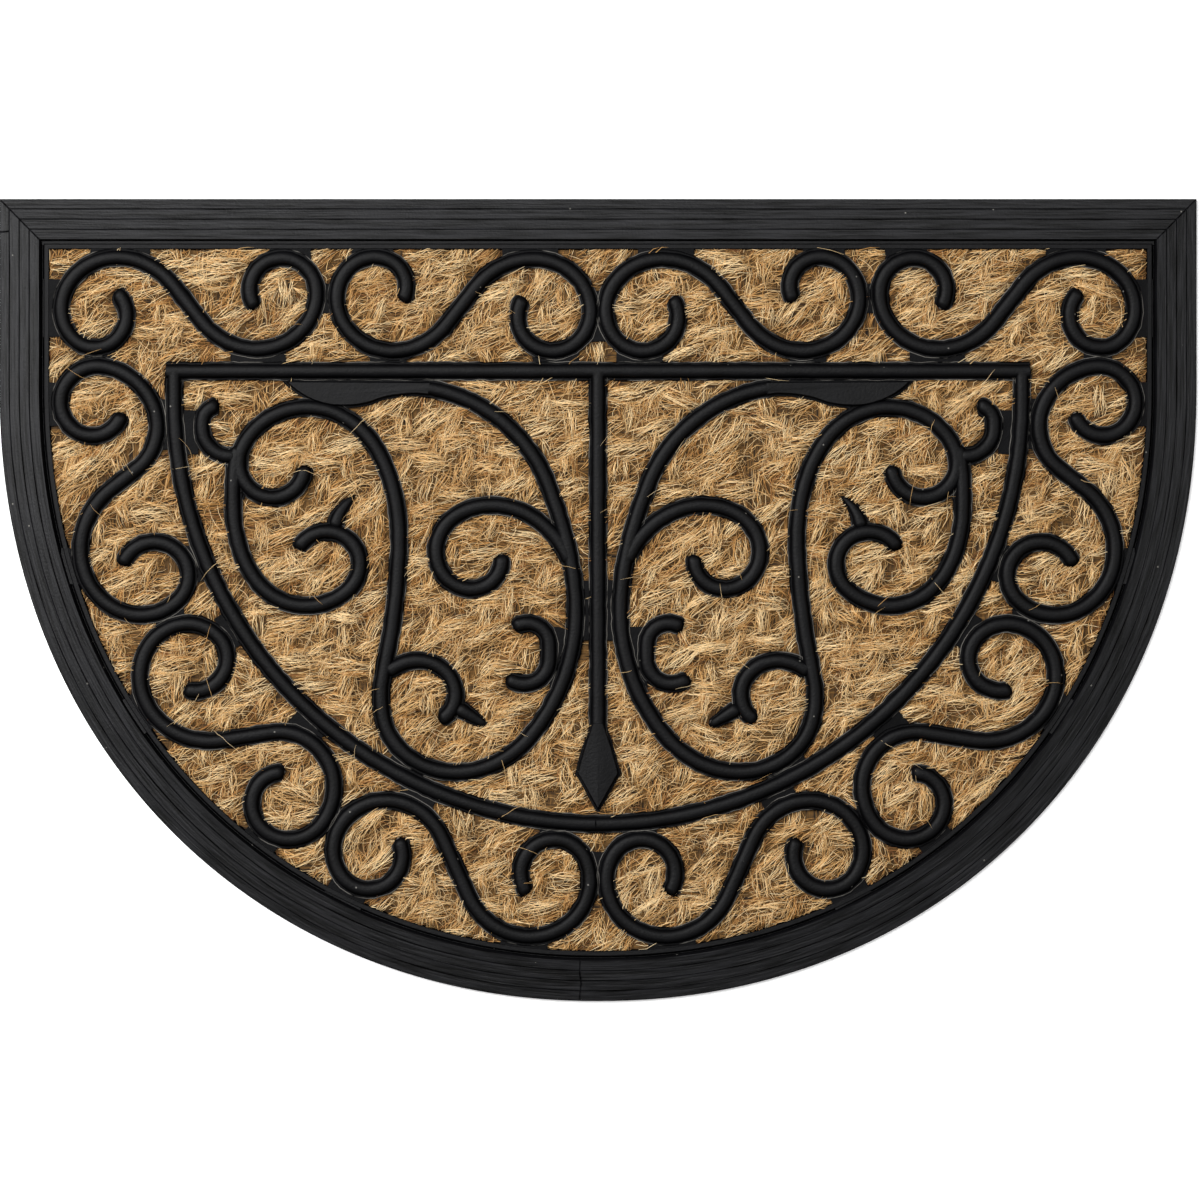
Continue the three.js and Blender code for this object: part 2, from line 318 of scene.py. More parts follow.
def closed_tube(drawn):
    """Turns a curve with a section into a closed mesh."""
    drawn.data.use_fill_caps = True
    bpy.ops.object.select_all(action="DESELECT")
    drawn.select_set(True)
    bpy.context.view_layer.objects.active = drawn
    bpy.ops.object.convert(target="MESH")
    bpy.ops.object.mode_set(mode="EDIT")
    bpy.ops.mesh.select_all(action="SELECT")
    bpy.ops.mesh.remove_doubles(threshold=0.001 * MM)
    bpy.ops.mesh.normals_make_consistent(inside=False)
    bpy.ops.object.mode_set(mode="OBJECT")
    return bpy.context.object


def bar(points, rounded=True, end_share=1.0):
    places, width = stations(np.array(points, float), rounded, end_share)
    heights = np.full(len(places), LATTICE_BASE)
    drawn = curve_of("bar", np.column_stack([places, heights]) * MM)
    drawn.data.splines[0].points.foreach_set("radius", width)
    drawn.data.twist_mode = "Z_UP"
    drawn.data.bevel_mode = "OBJECT"
    drawn.data.bevel_object = bar_section
    gather(closed_tube(drawn), rubber_pieces)


MIRROR = np.array([-1, 1])
bow_angle = np.radians(np.arange(180, 361, 2.5))
bow = np.column_stack([FRAME_RADIUS * np.cos(bow_angle), BOW_CENTRE + FRAME_RADIUS * np.sin(bow_angle)])
back_end = FRAME_RADIUS + FRAME_CORNER
bar(np.vstack([[(-FRAME_RADIUS, FRAME_BACK)], bow, [(FRAME_RADIUS, FRAME_BACK)]]), rounded=False)
bar([(-back_end, FRAME_BACK), (back_end, FRAME_BACK)], rounded=False)
bar([(0, FRAME_BACK), (0, SPEAR_WIDEST[1])], rounded=False)
for x, y, heading, ahead, back, end_share in SCROLLS:
    arm = walk(x, y, heading, ahead)
    tail = walk(x, y, heading + 180, back)[:0:-1]
    points = np.vstack([tail, arm])
    bar(points, end_share=end_share)
    bar(points * MIRROR, end_share=end_share)


def bent(start, pull, end, steps=7):
    """Points of a curve that leaves start towards pull and comes to end from there, less the last one."""
    share = np.linspace(0, 1, steps, endpoint=False)[:, None]
    start, pull, end = (np.array(place, float) for place in (start, pull, end))
    return start * (1 - share) ** 2 + pull * 2 * share * (1 - share) + end * share**2


def raised_plate(name, points):
    """A plate with a low flange wall and a bevelled top, left in edit mode with its top selected."""
    plate = plate_of(name, np.array(points) * MM)
    bpy.ops.transform.translate(value=(0, 0, LATTICE_BASE * MM))
    bpy.ops.mesh.extrude_region_move(TRANSFORM_OT_translate={"value": (0, 0, PLATE_FLANGE_HEIGHT * MM)})
    bpy.ops.mesh.inset(thickness=PLATE_FLANGE_WIDTH * MM, depth=0)
    wall = PLATE_TOP - LATTICE_BASE - (PLATE_FLANGE_HEIGHT + PLATE_BEVEL)
    bpy.ops.mesh.inset(thickness=PLATE_LEAN * MM, depth=wall * MM)
    bpy.ops.mesh.inset(thickness=PLATE_BEVEL * MM, depth=PLATE_BEVEL * MM)
    return plate


def finish_plate(plate):
    bpy.ops.mesh.select_all(action="SELECT")
    bpy.ops.mesh.normals_make_consistent(inside=False)
    bpy.ops.object.mode_set(mode="OBJECT")
    gather(plate, rubber_pieces)


right_side = np.vstack([
    bent(SPEAR_TIP, SPEAR_WAIST, SPEAR_WIDEST),
    bent(SPEAR_WIDEST, SPEAR_SHOULDER, SPEAR_NECK),
    [SPEAR_NECK],
])
spear = raised_plate("spearhead", np.vstack([right_side, right_side[:0:-1] * MIRROR]))
bpy.ops.mesh.bisect(plane_co=(0, 0, 0), plane_no=(1, 0, 0), use_fill=False)
bpy.ops.transform.translate(value=(0, 0, SPEAR_RIDGE * MM))
finish_plate(spear)

for side in (1, -1):
    edge = np.vstack([
        bent(LEAF_TIP, (LEAF_PULLS[0], LEAF_BELLY[1]), LEAF_BELLY),
        bent(LEAF_BELLY, (LEAF_PULLS[1], LEAF_BELLY[1]), LEAF_WAIST),
        bent(LEAF_WAIST, (LEAF_PULLS[2], LEAF_NECK[1]), LEAF_NECK),
        [LEAF_NECK, *LEAF_ROOT],
    ])
    leaf_points = edge if side == 1 else edge[::-1] * MIRROR
    finish_plate(raised_plate("leaf", leaf_points))


def block(x, y, length, width, turn, low, high):
    bpy.ops.object.select_all(action="DESELECT")
    bpy.ops.mesh.primitive_cube_add(
        size=MM,
        location=(x * MM, y * MM, (low + high) / 2 * MM),
        rotation=(0, 0, math.radians(turn)),
        scale=(length, width, high - low),
    )
    bpy.ops.object.transform_apply(location=True, rotation=True, scale=True)
    gather(bpy.context.object, rubber_pieces)


for x, y, length, width, turn in WEBS:
    block(x, y, length, width, turn, WEB_BASE, WEB_TOP)
    if x:
        block(-x, y, length, width, -turn, WEB_BASE, WEB_TOP)

# Along the straight edge the gutter is shallow
SHALLOW_FLOOR = 6.5
filling_middle = BACK / MM - (RAMP_WIDTH + LIP_OUTER) / 2
filling_length = 2 * (HALF_WIDTH / MM - RAMP_WIDTH - 1)
filling_width = LIP_OUTER - RAMP_WIDTH + 1
block(0, filling_middle, filling_length, filling_width, 0, GUTTER_FLOOR - 1, SHALLOW_FLOOR)


def use_modifier(piece, kind, **settings):
    """Adds a modifier with its settings and applies it."""
    bpy.ops.object.select_all(action="DESELECT")
    piece.select_set(True)
    bpy.context.view_layer.objects.active = piece
    modifier = piece.modifiers.new(kind.lower(), kind)
    for name, value in settings.items():
        setattr(modifier, name, value)
    bpy.ops.object.modifier_apply(modifier=modifier.name)


def remove_collection(collection):
    for piece in list(collection.objects):
        bpy.data.objects.remove(piece)
    bpy.data.collections.remove(collection)


use_modifier(moulding, "BOOLEAN", operation="UNION", operand_type="COLLECTION", collection=rubber_pieces,
    solver="MANIFOLD")
remove_collection(rubber_pieces)
bpy.data.objects.remove(bar_section)

# Joins in the mould leave fine lines: mitres at the back corners, one across the front of the rim, a
# nick in the left edge and one over the bow. Points in millimetres along each.
SEAM_RADIUS = 0.5
crest = np.array([HALF_WIDTH / MM - RAMP_WIDTH, BACK / MM - RAMP_WIDTH, RIM_CREST])
corner = np.array([HALF_WIDTH / MM + 1, BACK / MM + 1, ramp_height(-1)])
SEAMS = [
    [corner, crest],
    [corner * (-1, 1, 1), crest * (-1, 1, 1)],
    [(-9.4, -202, ramp_height(-1)), (-8.4, -192, ramp_height(9)),
        (-9.2, -186, ramp_height(15)), (-8.8, -180, 9.7)],
    [(-301, 184.2, ramp_height(-1)), (-294.6, 184.6, ramp_height(5.4))],
    [(-1.2, -106.5, 10.05), (-1.0, -117.5, 10.05)],
]
seam_cuts = bpy.data.collections.new("seam_cuts")
bpy.context.scene.collection.children.link(seam_cuts)
for points in SEAMS:
    cut = curve_of("seam", np.array(points, float) * MM)
    cut.data.bevel_depth = SEAM_RADIUS * MM
    cut.data.bevel_resolution = 0
    gather(closed_tube(cut), seam_cuts)
use_modifier(moulding, "BOOLEAN", operation="DIFFERENCE", operand_type="COLLECTION", collection=seam_cuts,
    solver="MANIFOLD")
remove_collection(seam_cuts)

# Rubber that crept between the fibres makes the flanges ragged, and the beads a little uneven
RAGGED = 0.55
RAGGED_LENGTH = 3.5
UNEVEN = 0.12
FLANGE_HEIGHT = 1.0
PAINTED_HIGHLIGHT_BAND = 0.12
RAGGED_SEED = 5
noise.seed_set(RAGGED_SEED)  # unseeded, this noise differs from run to run
places = np.empty(len(moulding.data.vertices) * 3)
moulding.data.vertices.foreach_get("co", places)
places = places.reshape(-1, 3)
from_edge = np.full(len(places), np.inf)
edge_points = outline(0, OUTLINE_STEPS)
for start, end in zip(edge_points, np.roll(edge_points, -1, axis=0)):
    along = end - start
    share = np.clip((places[:, :2] - start) @ along / (along @ along), 0, 1)
    nearest = start + share[:, None] * along
    from_edge = np.minimum(from_edge, np.linalg.norm(places[:, :2] - nearest, axis=1))
in_openwork = from_edge > (LIP_INNER + 1) * MM
# The top edge of each flange is marked for a painted highlight: pale colour where the edge would catch the
# light
painted_highlight_edge = in_openwork & (np.abs(places[:, 2] / MM - LATTICE_BASE - FLANGE_HEIGHT) < PAINTED_HIGHLIGHT_BAND)
for index in np.flatnonzero(in_openwork & (places[:, 2] > (BACKING_TOP + 1) * MM)):
    x, y, z = places[index] / MM
    amount = RAGGED if z < LATTICE_BASE + FLANGE_HEIGHT + 0.1 else UNEVEN
    push = noise.noise_vector(Vector((x, y, 0)) / RAGGED_LENGTH) * amount * MM
    places[index, :2] += push[:2]
moulding.data.vertices.foreach_set("co", places.ravel())
moulding.data.update()
for name, values in (("from_edge", from_edge / MM), ("painted_highlight_edge", painted_highlight_edge.astype(float))):
    attribute = moulding.data.attributes.new(name, "FLOAT", "POINT")
    attribute.data.foreach_set("value", values)

bpy.ops.object.select_all(action="DESELECT")
moulding.select_set(True)
bpy.context.view_layer.objects.active = moulding
bpy.ops.object.shade_smooth_by_angle(angle=math.radians(35))


def linear(colour):
    """An sRGB hex colour as linear red, green, blue and alpha."""
    shares = [((colour >> shift) & 255) / 255 for shift in (16, 8, 0)]
    return [s / 12.92 if s <= 0.04045 else ((s + 0.055) / 1.055) ** 2.4 for s in shares] + [1]


def add_node(material, kind, inputs, **settings):
    """Adds a node with its settings. An input is a value, or another node's output that is linked to it."""
    node = material.node_tree.nodes.new(kind)
    for name, value in settings.items():
        setattr(node, name, value)
    for name, value in inputs.items():
        if isinstance(value, bpy.types.NodeSocket):
            material.node_tree.links.new(value, node.inputs[name])
        else:
            node.inputs[name].default_value = value
    return node


def new_material(name):
    material = bpy.data.materials.new(name)
    material.use_nodes = True
    material.node_tree.nodes.clear()
    return material


# Moulded rubber: carbon black, near black on the openwork and greyer on the rim, where feet have rubbed it.
# Level tops carry a soft sheen. Steep sides and low faces are dull, so each bar has a black edge.
# Fine streaks run along the rim from the mould, and pale specks of dust lie on the rubber. Pale patches
# along the flanges' edges are a painted highlight, where those edges would catch the light.
rubber = new_material("moulded_rubber")
place = add_node(rubber, "ShaderNodeTexCoord", {}).outputs["Object"]
edge = add_node(rubber, "ShaderNodeAttribute", {}, attribute_name="from_edge").outputs["Fac"]
on_rim = add_node(rubber, "ShaderNodeMapRange", {
    "Value": edge, "From Min": RAMP_WIDTH + 0.5, "From Max": RAMP_WIDTH - 0.5}).outputs["Result"]
slow = add_node(rubber, "ShaderNodeVectorMath", {0: place, "Scale": 1 / (25 * MM)}, operation="SCALE")
across_rim = add_node(rubber, "ShaderNodeMath", {0: edge, 1: 0.9}, operation="MULTIPLY")
quick = add_node(rubber, "ShaderNodeCombineXYZ", {"Z": across_rim.outputs["Value"]})
along_rim = add_node(rubber, "ShaderNodeVectorMath", {
    0: slow.outputs["Vector"], 1: quick.outputs["Vector"]})
streak = add_node(rubber, "ShaderNodeTexNoise", {
    "Vector": along_rim.outputs["Vector"], "Scale": 1, "Detail": 3})
bloom = add_node(rubber, "ShaderNodeTexNoise", {"Vector": place, "Scale": 1 / (12 * MM), "Detail": 5})
worn = add_node(rubber, "ShaderNodeMapRange", {
    "Value": streak.outputs["Fac"], "From Min": 0.35, "From Max": 0.65}).outputs["Result"]
rim_tone = add_node(rubber, "ShaderNodeMixRGB", {
    "Fac": worn, "Color1": linear(0x020202), "Color2": linear(0x1e1e20)})
bar_tone = add_node(rubber, "ShaderNodeMixRGB", {
    "Fac": bloom.outputs["Fac"], "Color1": linear(0x020202), "Color2": linear(0x101012)})
tone = add_node(rubber, "ShaderNodeMixRGB", {
    "Fac": on_rim, "Color1": bar_tone.outputs["Color"], "Color2": rim_tone.outputs["Color"]})
# Painted highlight: pale patches on the marked flange edges, where they would catch the light
painted_highlight_node = add_node(rubber, "ShaderNodeAttribute", {}, attribute_name="painted_highlight_edge")
painted_highlight_patches = add_node(rubber, "ShaderNodeMapRange", {
    "Value": bloom.outputs["Fac"], "From Min": 0.42, "From Max": 0.55, "To Max": 0.9})
painted_highlight_amount = add_node(rubber, "ShaderNodeMath", {
    0: painted_highlight_node.outputs["Fac"], 1: painted_highlight_patches.outputs["Result"]}, operation="MULTIPLY")
tone = add_node(rubber, "ShaderNodeMixRGB", {
    "Fac": painted_highlight_amount.outputs["Value"], "Color1": tone.outputs["Color"], "Color2": linear(0x85827c)})
speck = add_node(rubber, "ShaderNodeTexVoronoi", {"Vector": place, "Scale": 1 / (13 * MM)})
speck_size = add_node(rubber, "ShaderNodeMath", {
    0: speck.outputs["Distance"], 1: 0.035}, operation="LESS_THAN")
finish = add_node(rubber, "ShaderNodeMixRGB", {
    "Fac": speck_size.outputs["Value"], "Color1": tone.outputs["Color"], "Color2": linear(0x66645f)})
grain = add_node(rubber, "ShaderNodeTexNoise", {"Vector": place, "Scale": 1 / (1.2 * MM), "Detail": 3})
relief = add_node(rubber, "ShaderNodeMath", {0: streak.outputs["Fac"], 1: on_rim}, operation="MULTIPLY")
fine = add_node(rubber, "ShaderNodeMath", {0: grain.outputs["Fac"], 1: 0.3}, operation="MULTIPLY")
relief = add_node(rubber, "ShaderNodeMath", {
    0: relief.outputs["Value"], 1: fine.outputs["Value"]}, operation="ADD")
bump = add_node(rubber, "ShaderNodeBump", {
    "Height": relief.outputs["Value"], "Strength": 1, "Distance": 0.6 * MM})
height = add_node(rubber, "ShaderNodeSeparateXYZ", {"Vector": place}).outputs["Z"]
on_beads = add_node(rubber, "ShaderNodeMapRange", {
    "Value": height, "From Min": 7.2 * MM, "From Max": 8.4 * MM, "To Min": 0.06, "To Max": 0.13})
on_ramp = add_node(rubber, "ShaderNodeMapRange", {
    "Value": edge, "From Min": RAMP_WIDTH + 2.5, "From Max": RAMP_WIDTH, "To Min": 0.14, "To Max": 0.25})
on_border = add_node(rubber, "ShaderNodeMath", {0: edge, 1: LIP_INNER}, operation="LESS_THAN")
on_border = add_node(rubber, "ShaderNodeMath", {
    0: on_ramp.outputs["Result"], 1: on_border.outputs["Value"]}, operation="MULTIPLY")
polish = add_node(rubber, "ShaderNodeMath", {
    0: on_beads.outputs["Result"], 1: on_border.outputs["Value"]}, operation="MAXIMUM")
facing = add_node(rubber, "ShaderNodeNewGeometry", {}).outputs["Normal"]
upright = add_node(rubber, "ShaderNodeSeparateXYZ", {"Vector": facing})
sheen = add_node(rubber, "ShaderNodeMapRange", {
    "Value": upright.outputs["Z"], "From Min": 0.62, "From Max": 0.96, "To Max": polish.outputs["Value"]})
surface = add_node(rubber, "ShaderNodeBsdfPrincipled", {
    "Base Color": finish.outputs["Color"], "Roughness": 0.52, "Specular IOR Level": sheen.outputs["Result"],
    "Normal": bump.outputs["Normal"]})
add_node(rubber, "ShaderNodeOutputMaterial", {"Surface": surface.outputs["BSDF"]})
moulding.data.materials.clear()
moulding.data.materials.append(rubber)
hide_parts("rubber_moulding")
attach(moulding, "root")

# Coir panel. A half round cut of coarse plain weave: fat, hairy yarns of coconut fibre, the weft lying
# over the warp in flat lens-shaped floats. The moulding grips it all round and under every bar, so it
# is pressed flat there and swells between.
COIR_INSET = (LIP_INNER + 0.3) * MM
COIR_BOTTOM = 2.1
COIR_LOW = 5.5
COIR_PRESSED = 5.2
COIR_UNDER = 0.6  # the panel's surface below the fibres that are laid on it
RASTER = 1.0  # millimetres between the points of the height maps
PANEL_PITCH = 2.3
WARP_PITCH = 14.0
WEFT_PITCH = 11.0
WEFT_FLOAT = {"length": 13, "width": 6, "top": 8.3, "turn": 6}
WARP_FLOAT = {"length": 10, "width": 5, "top": 7.8, "turn": 86}
PRESS_REACH = 1
SEED = 11
random = np.random.default_rng(SEED)


def height_map(body):
    """The height of a body's top over every point of the raster, in millimetres, and 0 beside it."""
    tree = BVHTree.FromObject(body, bpy.context.evaluated_depsgraph_get())
    down = Vector((0, 0, -1))
    top = np.zeros((len(raster_y), len(raster_x)))
    for row, y in enumerate(raster_y):
        for column, x in enumerate(raster_x):
            hit = tree.ray_cast(Vector((x * MM, y * MM, 1)), down)[0]
            if hit:
                top[row, column] = hit.z / MM
    return top


def spread(values, reach):
    """Averages a map over a square of raster points."""
    for axis in (0, 1):
        total = np.zeros_like(values)
        for shift in range(-reach, reach + 1):
            total += np.roll(values, shift, axis)
        values = total / (2 * reach + 1)
    return values


def sample(values, x, y):
    """A map's values at places in millimetres, worked out between the raster's points."""
    column = np.clip((x - raster_x[0]) / RASTER, 0, len(raster_x) - 1.001)
    row = np.clip((y - raster_y[0]) / RASTER, 0, len(raster_y) - 1.001)
    c, r = column.astype(int), row.astype(int)
    u, v = column - c, row - r
    top = values[r, c] * (1 - u) + values[r, c + 1] * u
    bottom = values[r + 1, c] * (1 - u) + values[r + 1, c + 1] * u
    return top * (1 - v) + bottom * v


raster_x = np.arange(cad_low.x / MM, cad_high.x / MM + RASTER, RASTER)
raster_y = np.arange(cad_low.y / MM, cad_high.y / MM + RASTER, RASTER)
rubber_top = height_map(moulding)
covered = (rubber_top > COIR_PRESSED).astype(float)
# Full under the bars, fading to nothing a little way beside them
pressed = np.clip(1.9 * spread(spread(covered, PRESS_REACH), PRESS_REACH) - 0.1, 0, 1)

# Floats of the weave, one in each cell where the weft, or else the warp, is on top
columns = np.arange(-20, 21)
rows = np.arange(-17, 18)
column, row = (a.ravel() for a in np.meshgrid(columns, rows))
count = len(column)
over = (column + row) % 2 == 0
float_x = column * WARP_PITCH + random.normal(0, 2.2, count)
float_y = row * WEFT_PITCH + random.normal(0, 1.8, count)
float_length = np.where(over, WEFT_FLOAT["length"], WARP_FLOAT["length"]) * random.uniform(0.75, 1.25, count)
float_width = np.where(over, WEFT_FLOAT["width"], WARP_FLOAT["width"]) * random.uniform(0.85, 1.15, count)
float_top = np.where(over, WEFT_FLOAT["top"], WARP_FLOAT["top"]) + random.normal(0, 0.35, count)
float_turn = np.where(over, WEFT_FLOAT["turn"], WARP_FLOAT["turn"]) + random.normal(0, 14, count)
float_turn = np.radians(float_turn)


def float_height(index, along, across):
    """The height of a float's yarn at places along and across it."""
    swell = 1 - (along / float_length[index]) ** 2
    crown = 1 - 0.75 * (across / float_width[index]) ** 2
    rise = float_top[index] - COIR_LOW
    return COIR_LOW + rise * np.where(swell > 0, swell * np.maximum(crown, 0), 0.4 * swell)


def weave_maps():
    """The height of the weave's top over the raster, and where a weft float is the one on top."""
    top = np.full((len(raster_y), len(raster_x)), COIR_LOW)
    weft = np.zeros_like(top)
    reach = 14
    for index in range(count):
        c = np.searchsorted(raster_x, float_x[index])
        r = np.searchsorted(raster_y, float_y[index])
        rows_near = slice(max(r - reach, 0), max(r + reach, 0))
        columns_near = slice(max(c - reach, 0), max(c + reach, 0))
        x, y = np.meshgrid(raster_x[columns_near] - float_x[index], raster_y[rows_near] - float_y[index])
        if not x.size:
            continue
        turn = float_turn[index]
        along = x * np.cos(turn) + y * np.sin(turn)
        across = y * np.cos(turn) - x * np.sin(turn)
        height = float_height(index, along, across)
        height[np.abs(across) > float_width[index]] = COIR_LOW
        highest = height > top[rows_near, columns_near]
        top[rows_near, columns_near][highest] = height[highest]
        weft[rows_near, columns_near][highest] = over[index]
    return top, weft


weave_height, weft_map = weave_maps()
weave_top = COIR_PRESSED + (weave_height - COIR_UNDER - COIR_PRESSED) * (1 - pressed)


def drawn_in(places, inset):
    """Places in metres, those outside the outline at an inset brought in to it, and which ones these are."""
    half_width = HALF_WIDTH - inset
    back = BACK - inset
    shoulder = BACK - SIDE_LENGTH
    reach = DEPTH - SIDE_LENGTH - inset
    below = np.maximum(shoulder - places[:, 1], 0)
    sideways = np.abs(places[:, 0]) / half_width
    share = (sideways**ROUNDNESS + (below / reach) ** ROUNDNESS) ** (1 / ROUNDNESS)
    outside = (share > 1) | (places[:, 1] > back)
    scale = np.where(share > 1, 1 / np.maximum(share, 1e-9), 1)
    moved = places.copy()
    moved[:, 0] *= scale
    moved[:, 1] = np.where(below > 0, shoulder - below * scale, np.minimum(places[:, 1], back))
    return moved, outside


bpy.ops.object.select_all(action="DESELECT")
panel_width = 2 * (HALF_WIDTH - COIR_INSET)
panel_depth = DEPTH - 2 * COIR_INSET
bpy.ops.mesh.primitive_grid_add(
    x_subdivisions=round(panel_width / PANEL_PITCH / MM),
    y_subdivisions=round(panel_depth / PANEL_PITCH / MM),
    size=1,
)
panel = bpy.context.object
panel.name = "woven_coir_panel"
flat_places = np.empty(len(panel.data.vertices) * 3)
panel.data.vertices.foreach_get("co", flat_places)
flat_places = flat_places.reshape(-1, 3) * (panel_width, panel_depth, 1)
trimmed, outside = drawn_in(flat_places[:, :2], COIR_INSET)
heights = sample(weave_top, trimmed[:, 0] / MM, trimmed[:, 1] / MM) * MM
panel.data.vertices.foreach_set("co", np.column_stack([trimmed, heights]).ravel())
corners = np.empty(len(panel.data.loops), int)
panel.data.loops.foreach_get("vertex_index", corners)
cut_off = outside[corners.reshape(-1, 4)].all(axis=1)
bpy.ops.object.mode_set(mode="EDIT")
bpy.ops.mesh.select_mode(type="FACE")
bpy.ops.mesh.select_all(action="DESELECT")
bpy.ops.object.mode_set(mode="OBJECT")
panel.data.polygons.foreach_set("select", cut_off)
bpy.ops.object.mode_set(mode="EDIT")
bpy.ops.mesh.delete(type="FACE")
bpy.ops.mesh.select_mode(type="VERT")
bpy.ops.mesh.select_all(action="SELECT")
bpy.ops.mesh.remove_doubles(threshold=0.05 * MM)
bpy.ops.mesh.select_all(action="SELECT")
bpy.ops.mesh.region_to_loop()
bpy.ops.mesh.extrude_region_move(TRANSFORM_OT_translate={"value": (0, 0, -3 * MM)})
bpy.ops.transform.resize(value=(1, 1, 0), center_override=(0, 0, COIR_BOTTOM * MM))
bpy.ops.mesh.edge_face_add()
bpy.ops.object.mode_set(mode="OBJECT")
bpy.ops.object.shade_smooth_by_angle(angle=math.radians(60))
places = np.empty(len(panel.data.vertices) * 3)
panel.data.vertices.foreach_get("co", places)
places = places.reshape(-1, 3) / MM
weft_share = panel.data.attributes.new("weft_share", "FLOAT", "POINT")
weft_share.data.foreach_set("value", sample(weft_map, places[:, 0], places[:, 1]))

# Coir panel under the fibres: retted coconut husk, dull, in fine streaks along the yarn. It runs from near
# black to fox brown, darker than the fibres laid over it: painted shade, so that the gaps between the fibres
# look deep.
coir_base_with_shade = new_material("woven_coir_and_shade")
place = add_node(coir_base_with_shade, "ShaderNodeTexCoord", {}).outputs["Object"]
streaks = []
for turn, scale in ((-0.2, (1, 12, 1)), (0.2, (12, 1, 1))):
    stretched = add_node(coir_base_with_shade, "ShaderNodeMapping", {
        "Vector": place, "Rotation": (0, 0, turn), "Scale": scale})
    streak = add_node(coir_base_with_shade, "ShaderNodeTexNoise", {
        "Vector": stretched.outputs["Vector"], "Scale": 1 / (7 * MM), "Detail": 3})
    streaks.append(streak.outputs["Fac"])
weft = add_node(coir_base_with_shade, "ShaderNodeAttribute", {}, attribute_name="weft_share")
streak = add_node(coir_base_with_shade, "ShaderNodeMixRGB", {
    "Fac": weft.outputs["Fac"], "Color1": streaks[1], "Color2": streaks[0]}).outputs["Color"]
share = add_node(coir_base_with_shade, "ShaderNodeMapRange", {"Value": streak, "From Min": 0.36, "From Max": 0.66})
# The near black end is painted shade in the gaps between the fibres
tone = add_node(coir_base_with_shade, "ShaderNodeMixRGB", {
    "Fac": share.outputs["Result"], "Color1": linear(0x0e0703), "Color2": linear(0x755429)})
bump = add_node(coir_base_with_shade, "ShaderNodeBump", {"Height": streak, "Strength": 1, "Distance": 0.8 * MM})
surface = add_node(coir_base_with_shade, "ShaderNodeBsdfPrincipled", {
    "Base Color": tone.outputs["Color"], "Roughness": 0.9, "IOR": 1.4, "Normal": bump.outputs["Normal"]})
add_node(coir_base_with_shade, "ShaderNodeOutputMaterial", {"Surface": surface.outputs["BSDF"]})
panel.data.materials.clear()
panel.data.materials.append(coir_base_with_shade)
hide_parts("coir_panel")
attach(panel, "root")

# Fibres of the yarns. Each float is a bundle of coir fibres that lie along it with the yarn's twist, and
# dive under the next yarn at its ends. They are laid where they show, and pressed down by the bars.
FIBRE_SIDES = 3


def fibre_mesh(name, paths, radius, tints, material):
    """One mesh of closed tapered tubes along paths in millimetres, each with its own colour."""
    fibres, rings, _ = paths.shape
    tangent = np.gradient(paths, axis=1)
    tangent /= np.linalg.norm(tangent, axis=2, keepdims=True)
    side = np.cross(tangent, [0, 0, 1])
    side /= np.linalg.norm(side, axis=2, keepdims=True) + 1e-9
    upper = np.cross(side, tangent)
    taper = np.interp(np.linspace(0, 1, rings), (0, 0.15, 0.8, 1), (0.55, 1, 0.9, 0.35))
    size = radius[:, None, None, None] * taper[None, :, None, None]
    angle = 2 * math.pi * np.arange(FIBRE_SIDES) / FIBRE_SIDES + math.pi / 2
    ring = side[:, :, None] * np.cos(angle)[:, None] + upper[:, :, None] * np.sin(angle)[:, None]
    points = (paths[:, :, None] + size * ring).reshape(-1, 3) * MM
    corner = np.arange(FIBRE_SIDES)
    after = (corner + 1) % FIBRE_SIDES
    lower = np.arange(rings - 1)[:, None] * FIBRE_SIDES
    upper_ring = lower + FIBRE_SIDES
    wall = np.stack([lower + corner, upper_ring + corner, upper_ring + after, lower + after], axis=2)
    wall = wall.reshape(-1, 4)
    cap = np.stack([corner, corner[::-1] + (rings - 1) * FIBRE_SIDES])
    first = np.arange(fibres)[:, None, None] * rings * FIBRE_SIDES
    loops = np.concatenate([(wall + first).reshape(fibres, -1), (cap + first).reshape(fibres, -1)], axis=1)
    totals = np.array([4] * len(wall) + [FIBRE_SIDES] * 2)
    totals_all = np.tile(totals, fibres)
    mesh = bpy.data.meshes.new(name)
    mesh.vertices.add(len(points))
    mesh.vertices.foreach_set("co", points.ravel())
    mesh.loops.add(loops.size)
    mesh.loops.foreach_set("vertex_index", loops.ravel())
    mesh.polygons.add(len(totals_all))
    mesh.polygons.foreach_set("loop_start", np.concatenate([[0], np.cumsum(totals_all)[:-1]]))
    mesh.polygons.foreach_set("loop_total", totals_all)
    mesh.polygons.foreach_set("use_smooth", np.ones(len(totals_all), bool))
    mesh.update(calc_edges=True)
    shade = mesh.color_attributes.new("fibre_tint", "FLOAT_COLOR", "POINT")
    shade.data.foreach_set("color", np.repeat(tints, rings * FIBRE_SIDES, axis=0).ravel())
    places_across = math.ceil(math.sqrt(fibres))
    station_of = (loops[0] // FIBRE_SIDES) / (rings - 1)
    corner_of = (loops[0] % FIBRE_SIDES) / FIBRE_SIDES
    fibre = np.arange(fibres)[:, None]
    u = (fibre % places_across + 0.15 + 0.7 * station_of) / places_across
    v = (fibre // places_across + 0.15 + 0.7 * corner_of) / places_across
    uv = mesh.uv_layers.new(name="OFBake")
    uv.data.foreach_set("uv", np.stack([u, v], axis=2).ravel())
    mesh.materials.append(material)
    piece = bpy.data.objects.new(name, mesh)
    bpy.context.collection.objects.link(piece)
    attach(piece, "root")
    return piece


